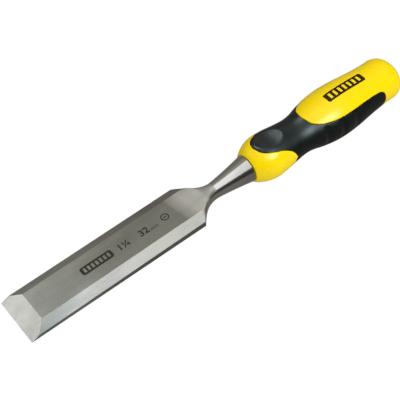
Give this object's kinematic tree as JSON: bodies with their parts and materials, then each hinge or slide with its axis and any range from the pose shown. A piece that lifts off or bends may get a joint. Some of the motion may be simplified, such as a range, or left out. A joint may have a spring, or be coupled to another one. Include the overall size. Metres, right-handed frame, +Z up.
{
  "type": "bench chisel",
  "caption": "Wide bevel-edge bench chisel: forged steel blade with a round neck and cone bolster, hard plastic handle body and a soft overmoulded grip.",
  "frame": {"origin": "middle of the blade's flat back: half way along it from the cutting edge to the shoulder, on the centre line", "axes": "+X along the tool from the cutting edge towards the butt, +Z up out of the bevelled top of the blade, +Y completes a right-handed frame; the flat back lies in Z = 0"},
  "size_m": [0.2659, 0.0334, 0.0298],
  "materials": {
    "ground_steel": "ground satin faces, polished bolster",
    "yellow_plastic": "glossy moulded",
    "black_rubber": "satin soft-touch"
  },
  "bodies": {
    "root": {"blade": "ground_steel", "handle_body": "yellow_plastic", "soft_grip": "black_rubber"}
  },
  "joints": []
}
